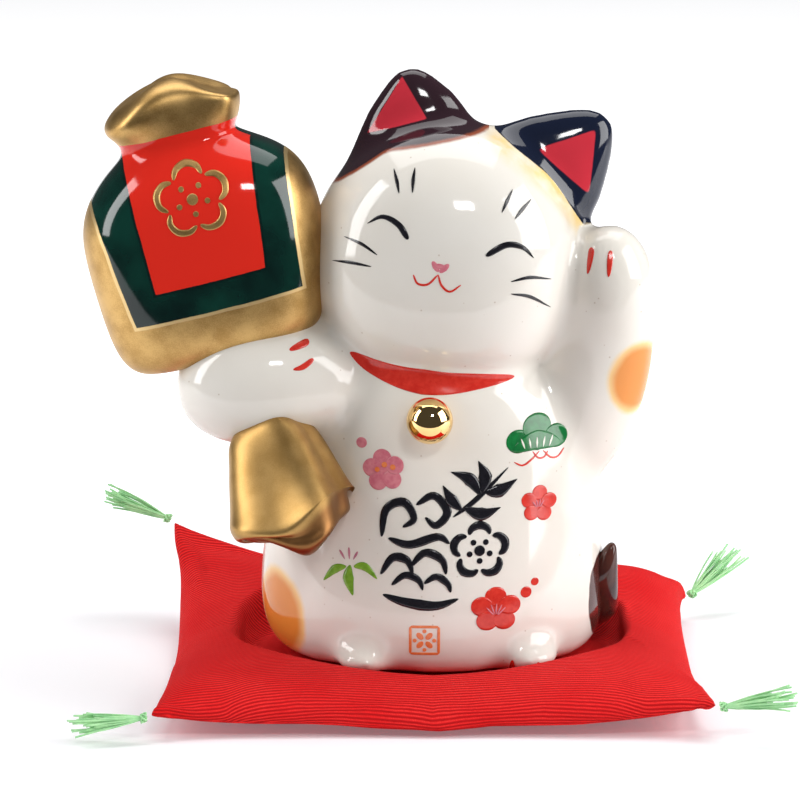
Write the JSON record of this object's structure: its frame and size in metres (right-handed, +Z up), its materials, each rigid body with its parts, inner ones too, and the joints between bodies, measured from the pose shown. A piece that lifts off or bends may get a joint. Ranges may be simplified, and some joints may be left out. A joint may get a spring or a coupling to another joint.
{
  "type": "ceramic cat figurine on a cushion",
  "caption": "Seated glazed ceramic cat with one paw raised and a lucky mallet in the other, a gold bell at its neck, on a filled square cloth cushion with thread tassels.",
  "frame": {"origin": "centre of the cushion's flat underside, on the surface that it stands on", "axes": "+Z up, the cat faces -Y, and +X is on the right of someone who looks at its face"},
  "size_m": [0.1282, 0.1063, 0.1135],
  "materials": {
    "white_glaze": "glossy clear glaze over white slip, with painted patches",
    "dark_brown_glaze": "glossy",
    "green_and_gold_glaze": "glossy green and red panels in a satin gold border",
    "satin_gold_lustre": "satin gold lustre",
    "bright_gold_lustre": "mirror-bright gold lustre",
    "red_ribbed_cloth": "matt ribbed weave",
    "cotton_wadding": "matt",
    "pale_green_thread": "twisted thread"
  },
  "bodies": {
    "cushion": {"cushion_top_panel": "red_ribbed_cloth", "cushion_bottom_panel": "red_ribbed_cloth", "cushion_wadding": "cotton_wadding"},
    "cat": {"cat_body": "white_glaze", "tail": "dark_brown_glaze", "mallet_drum": "green_and_gold_glaze", "mallet_foot": "satin_gold_lustre", "bell": "bright_gold_lustre"},
    "tassel_front_left": {"tassel_front_left": "pale_green_thread"},
    "tassel_front_right": {"tassel_front_right": "pale_green_thread"},
    "tassel_back_left": {"tassel_back_left": "pale_green_thread"},
    "tassel_back_right": {"tassel_back_right": "pale_green_thread"}
  },
  "joints": [
    {"name": "cat_lift", "type": "slide", "parent": "cushion", "child": "cat", "axis": [0, 0, 1], "range_m": [0, 0.12]},
    {"name": "tassel_front_left_swing", "type": "hinge", "parent": "cushion", "child": "tassel_front_left", "pos_m": [-0.05099, -0.04749, 0.0044], "axis": [-0.1045, 0.9945, 0], "range_deg": [-5, 70]},
    {"name": "tassel_front_right_swing", "type": "hinge", "parent": "cushion", "child": "tassel_front_right", "pos_m": [0.05099, -0.04749, 0.0064], "axis": [-0.1392, -0.9903, 0], "range_deg": [-26, 60]},
    {"name": "tassel_back_left_swing", "type": "hinge", "parent": "cushion", "child": "tassel_back_left", "pos_m": [-0.05099, 0.04749, 0.0195], "axis": [0.1392, 0.9903, 0], "range_deg": [-60, 60]},
    {"name": "tassel_back_right_swing", "type": "hinge", "parent": "cushion", "child": "tassel_back_right", "pos_m": [0.05099, 0.04749, 0.0044], "axis": [0.6428, -0.766, 0], "range_deg": [-36, 50]}
  ]
}
